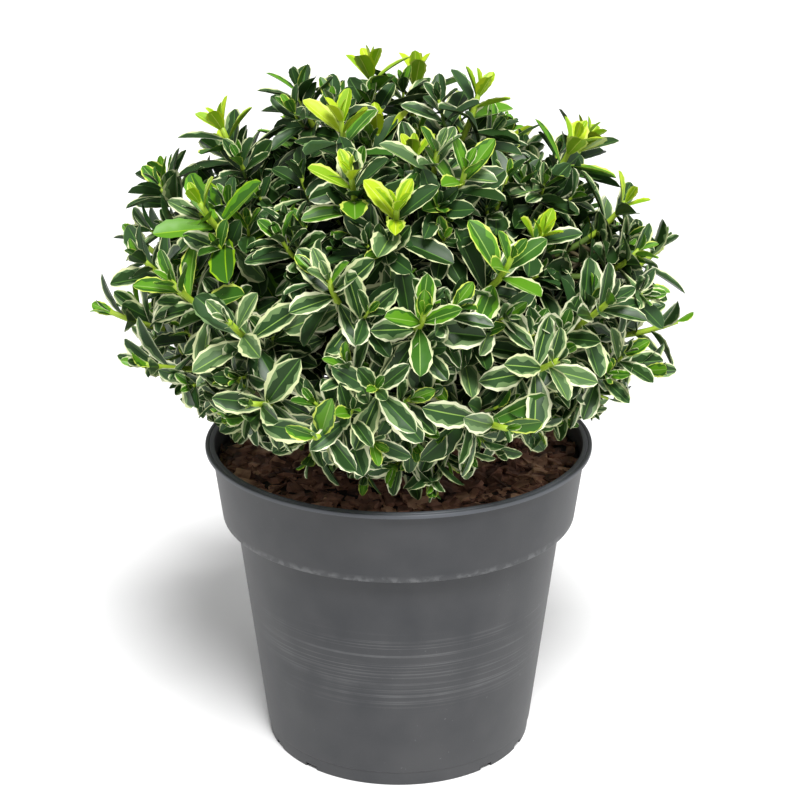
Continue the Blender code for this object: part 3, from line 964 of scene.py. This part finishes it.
def shoot_headings():
    """Heading, kind and rank of every shoot of each mass, spaced over the crown."""
    chance = random.Random(SEED)
    taken = []
    shoots = [[] for _ in MASSES]
    for azimuth, elevation, kind in LEADERS:
        aim = direction(azimuth, elevation)
        taken.append(aim)
        shoots[nearest_mass(aim)].append((aim, kind, True))

    def offer(aim, gap, index):
        if elevation_of(aim) > LOWEST_FILLER and spaced(aim, taken, gap):
            taken.append(aim)
            shoots[index].append((aim, None, False))

    for step in range(SHOOTS):
        for index, (_, way) in enumerate(MASSES):
            side, over = ring_frame(way)
            turn = math.radians(TURN * step + chance.uniform(-14, 14)) + index
            spread = math.radians(SPREAD) * math.sqrt(step / SHOOTS)
            across = side * math.cos(turn) + over * math.sin(turn)
            offer((way * math.cos(spread) + across * math.sin(spread)).normalized(), TIP_GAP, index)
    for step in range(FILLERS):
        height = 1.0 - 1.5 * (step + 0.5) / FILLERS
        aim = direction(TURN * step, math.degrees(math.asin(height)))
        offer(aim, FILL_GAP, nearest_mass(aim))
    return shoots


# %% [markdown]
# The crown isn't one colour: lime and dark leaves at the top, cream-edged ones round the sides,
# and one shoot that has gone all green. Each shoot gets a kind by its height on the crown, and
# each leaf one by its place on the shoot, so that colour changes along a shoot as it does on the
# plant. The chances stand in tables, because they are what gets tuned against the photo.

# %% Kinds of shoots and leaves
# Above each elevation: the share of dark leaves, and the kinds of shoots with where each ends
DEALT = (
    (34, 0.72, (("limed", 0.35), ("fresh", 0.5), ("dark", 1.0))),
    (12, 0.42, (("fresh", 0.2), ("dark", 0.5), ("edged", 0.85), ("frosted", 1.0))),
    (-90, 0.12, (("fresh", 0.12), ("edged", 0.75), ("frosted", 0.92), ("dark", 1.0))),
)
YOUNG = ("lime", "lime", "lime", "fresh", "fresh")
LIMED_CHANCES = (1.0, 1.0, 0.6, 0.5, 0.25)
FRESH_CHANCES = (1.0, 1.0, 0.95, 0.7, 0.35)


def dealt(rise):
    """The share of dark leaves and the kinds of shoots at one elevation."""
    return next((dark, kinds) for above, dark, kinds in DEALT if rise > above)


def plain_kind(rise, chance):
    """The kind of a shoot that isn't named, by how high it stands on the crown."""
    pick = chance.random()
    return next(kind for kind, end in dealt(rise)[1] if pick < end)


def base_kind(rise, shoot_kind, chance):
    """The kind of a full-grown leaf on a shoot."""
    if shoot_kind in ("edged", "frosted") and chance.random() < 0.8:
        return shoot_kind
    if chance.random() < dealt(rise)[0]:
        return "dark"
    return "edged" if chance.random() < 0.72 else "frosted"


def leaf_kind(rise, pair, shoot_kind, chance):
    """The kind of leaf a pair carries, from young growth at the tip to full-grown leaves."""
    if shoot_kind == "green":
        return "lime" if pair < 2 else "green"
    tender = pair < len(YOUNG)
    if shoot_kind == "limed" and tender and chance.random() < LIMED_CHANCES[pair]:
        return YOUNG[pair]
    if shoot_kind == "fresh" and tender and chance.random() < FRESH_CHANCES[pair]:
        return "fresh"
    if pair < 2 and chance.random() < 0.5:
        return "fresh"
    return base_kind(rise, shoot_kind, chance)


def place_on(path, lengths, back):
    """Point and axis of a path at a distance from its root."""
    index = 0
    while index < len(lengths) - 1 and back > lengths[index]:
        back -= lengths[index]
        index += 1
    point = path[index].lerp(path[index + 1], min(1.0, back / lengths[index]))
    return point, (path[index + 1] - path[index]).normalized()


def grow_shoot(path, rise, shoot_kind, pairs, size, leaves, chance):
    """Leaves in crossed pairs from the tip of a shoot down."""
    lengths = [(after - before).length for before, after in zip(path, path[1:])]
    total = sum(lengths)
    roll = chance.uniform(0, math.tau)
    made = 0
    droop = DROOP + (LOW_DROOP - DROOP) * min(1.0, max(0.0, (18 - rise) / 22))
    distance = 1.0 * MM
    for pair in range(pairs):
        if distance > total * 0.97:
            break
        point, axis = place_on(path, lengths, total - distance)
        side, over = ring_frame(axis)
        turn = roll + pair * math.pi / 2 + chance.uniform(-0.25, 0.25)
        count = 3 if pair in (1, 2) and chance.random() < 0.35 else 2
        for half in range(count):
            around = turn + half * math.tau / count
            out = side * math.cos(around) + over * math.sin(around)
            opening = math.radians(OPENINGS[pair] + chance.uniform(-9, 9))
            lean = (axis * math.cos(opening) + out * math.sin(opening)).normalized()
            face = (axis * math.sin(opening) - out * math.cos(opening)).normalized()
            lean = (lean - UP * droop * min(pair, 4) / 4).normalized()
            scale = SIZES[pair] * size * chance.uniform(0.88, 1.12)
            length = LEAF_LENGTH * scale
            width = LEAF_WIDTH * scale * chance.uniform(0.9, 1.12)
            tip = point + lean * length
            middle = point + lean * length * 0.6
            if not clear_of_pot([tip, middle, point]):
                continue
            kind = leaf_kind(rise, pair, shoot_kind, chance)
            leaves.add(*leaf(point, lean, face, length, width, kind, chance))
            made += 1
        distance += SPACING * size * (0.45 + 0.15 * pair if pair < 5 else 1.15)
    return made


# %% [markdown]
# Young stems are lime, and turn green and then brown towards the wood. A thin tube with three
# bands of plain colour is enough, since leaves hide most of it. The crown is then grown mass by
# mass: each becomes one piece that stands for its solid, and all the twigs become one more.

# %% Green stems and the crown
SPRIG_LENGTH = (22, 36)
SPRIG_PAIRS = 5
SPRIG_SIZE = 0.9
FEWEST_SPRIG_LEAVES = 4
FIRST_SPRIG = 4
STEM_MATERIALS = [
    Finish("stem_lime", (0.330, 0.480, 0.030), 0.5).material,
    Finish("stem_green", (0.110, 0.190, 0.030), 0.5).material,
    Finish("stem_brown", (0.075, 0.060, 0.025), 0.7).material,
]


def add_stem(twigs, path, root, tip):
    """A green twig, lime towards its tip and brown where it leaves the wood."""
    count = len(path)
    radii = [root + (tip - root) * index / (count - 1) for index in range(count)]
    points, faces = tube(path, radii, 6)
    kinds = []
    for ring in range(count - 1):
        share = ring / (count - 1)
        kinds += [0 if share > 0.62 else 1 if share > 0.35 else 2] * 6
    kinds += [2, 0]
    twigs.add(points, faces, kinds)


def shoot_tip(aim, share):
    """The end of a shoot, drawn in until it keeps clear of the mulch and the rim."""
    tip = CROWN_CENTRE + aim * outline(aim) * share
    while share > 0.5 and tip.z < lowest(tip) + TIP_CLEARANCE:
        share -= 0.02
        tip = CROWN_CENTRE + aim * outline(aim) * share
    return tip


def shoot_lift(rise):
    """How far a shoot turns up at its tip: most high on the crown, least where it hangs."""
    if rise < 0:
        return LOW_LIFT * (1.0 + rise / 30)
    return LOW_LIFT + (LIFT - LOW_LIFT) * min(1.0, max(0.0, rise / 25))


def grow_sprigs(path, aim, lift, count, leaves, twigs, chance):
    """Short side sprigs on the lower part of a shoot. Gives the number of their leaves."""
    rise = elevation_of(aim)
    side, over = ring_frame(aim)
    total = 0
    for base in path[FIRST_SPRIG:FIRST_SPRIG + count]:
        turn = chance.uniform(0, math.tau)
        across = side * math.cos(turn) + over * math.sin(turn)
        lean = (aim * 0.9 + across * 0.8 + UP * 0.2).normalized()
        end = base + lean * chance.uniform(*SPRIG_LENGTH) * MM
        if not clear_of_pot([end]):
            continue
        short = bend(base, end, (lean + UP * lift).normalized(), 4)
        kind = "dark" if rise > 25 else "edged"
        grown = grow_shoot(short, rise, kind, SPRIG_PAIRS, SPRIG_SIZE, leaves, chance)
        total += grown
        if grown >= FEWEST_SPRIG_LEAVES:
            add_stem(twigs, short, *SPRIG_RADII)
    return total


def build_crown():
    chance = random.Random(SEED + 1)
    headings = shoot_headings()
    twigs = Bundle()
    total = 0
    shoots_made = 0
    for index, (name, way) in enumerate(MASSES):
        leaves = Bundle()
        start = bough_path(way, 4)[-1]
        end = CROWN_CENTRE + way * outline(way) * SIDE_SHARE[1]
        stem = bend(start, end, (way + UP * LOW_LIFT).normalized(), 12)
        for number, (aim, shoot_kind, leads) in enumerate(headings[index]):
            rise = elevation_of(aim)
            shoot_kind = shoot_kind or plain_kind(rise, chance)
            share = chance.uniform(*SIDE_SHARE)
            if leads:
                share = LEADER_SHARE + (TOP_SHARE - LEADER_SHARE) * max(0.0, rise) / 90
            lift = shoot_lift(rise)
            root = stem[(number * 2) % 6]
            path = bend(root, shoot_tip(aim, share), (aim + UP * lift).normalized(), 12)
            size = 1.2 if shoot_kind == "green" else 1.04 if leads else 0.97
            pairs = LEADER_PAIRS if leads else PAIRS
            grown = grow_shoot(path, rise, shoot_kind, pairs, size, leaves, chance)
            total += grown
            if grown < FEWEST_LEAVES:
                continue
            add_stem(twigs, path, *(LEADER_RADII if leads else SIDE_RADII))
            shoots_made += 1
            total += grow_sprigs(path, aim, lift, 4 if leads else 3, leaves, twigs, chance)
        piece = add_mesh("leaves_" + name, leaves.points, leaves.faces, LEAF_MATERIALS, leaves.kinds)
        stands_for(piece, "leaf_green", "foliage_" + name)
    piece = add_mesh("green_twigs", twigs.points, twigs.faces, STEM_MATERIALS, twigs.kinds)
    stands_for(piece, "leaf_green")
    print("shoots", shoots_made, "leaves", total)


build_crown()

# %% [markdown]
# The photo is a studio picture on white: a strong soft key from above and a little to the right,
# and much light bounced from all sides. A pale floor, an even white world and two wide, far suns
# repeat that, and light the whole floor alike. The camera stands where the pot's edges in the
# photo say it stood, with the lens that they call for.

# %% Floor, light and camera
FLOOR_SIZE = 24.0
KEY_HEADING = (0.12, -0.64, 1.0)
KEY_STRENGTH = 4.2
KEY_SOFTNESS = 20
SIDE_HEADING = (1.0, -0.30, 0.55)
SIDE_STRENGTH = 0.5
SIDE_SOFTNESS = 60
WORLD_STRENGTH = 0.44
CAMERA_PLACE = (0.8 * MM, -1135 * MM, 645 * MM)
CAMERA_PITCH = 20.81
FOCAL_PIXELS = 2050
FRAME_PIXELS = 800
SENSOR = 36.0


def soft_sun(heading, strength, softness):
    """A far, soft light, so that the whole floor is lit alike."""
    data = bpy.data.lights.new("key", "SUN")
    data.energy = strength
    data.angle = math.radians(softness)
    made = bpy.data.objects.new("key", data)
    made.rotation_euler = (-Vector(heading)).to_track_quat("-Z", "Y").to_euler()
    bpy.context.scene.collection.objects.link(made)


def build_studio():
    floor_finish = Finish("studio_floor", (0.86, 0.86, 0.86), 0.9)
    half = FLOOR_SIZE / 2
    corners = [(-half, -half, 0.0), (half, -half, 0.0), (half, half, 0.0), (-half, half, 0.0)]
    floor = add_mesh("floor", corners, [(0, 1, 2, 3)], [floor_finish.material])
    world = bpy.data.worlds.new("studio_world")
    world.use_nodes = True
    background = world.node_tree.nodes["Background"]
    background.inputs["Color"].default_value = (1.0, 1.0, 1.0, 1.0)
    background.inputs["Strength"].default_value = WORLD_STRENGTH
    bpy.context.scene.world = world
    soft_sun(KEY_HEADING, KEY_STRENGTH, KEY_SOFTNESS)
    soft_sun(SIDE_HEADING, SIDE_STRENGTH, SIDE_SOFTNESS)
    data = bpy.data.cameras.new("camera")
    data.sensor_width = SENSOR
    data.lens = FOCAL_PIXELS * SENSOR / FRAME_PIXELS
    camera = bpy.data.objects.new("camera", data)
    camera.location = CAMERA_PLACE
    camera.rotation_euler = (math.radians(90 - CAMERA_PITCH), 0.0, 0.0)
    bpy.context.scene.collection.objects.link(camera)
    bpy.context.scene.camera = camera
    bpy.context.scene.view_settings.view_transform = "Standard"


build_studio()
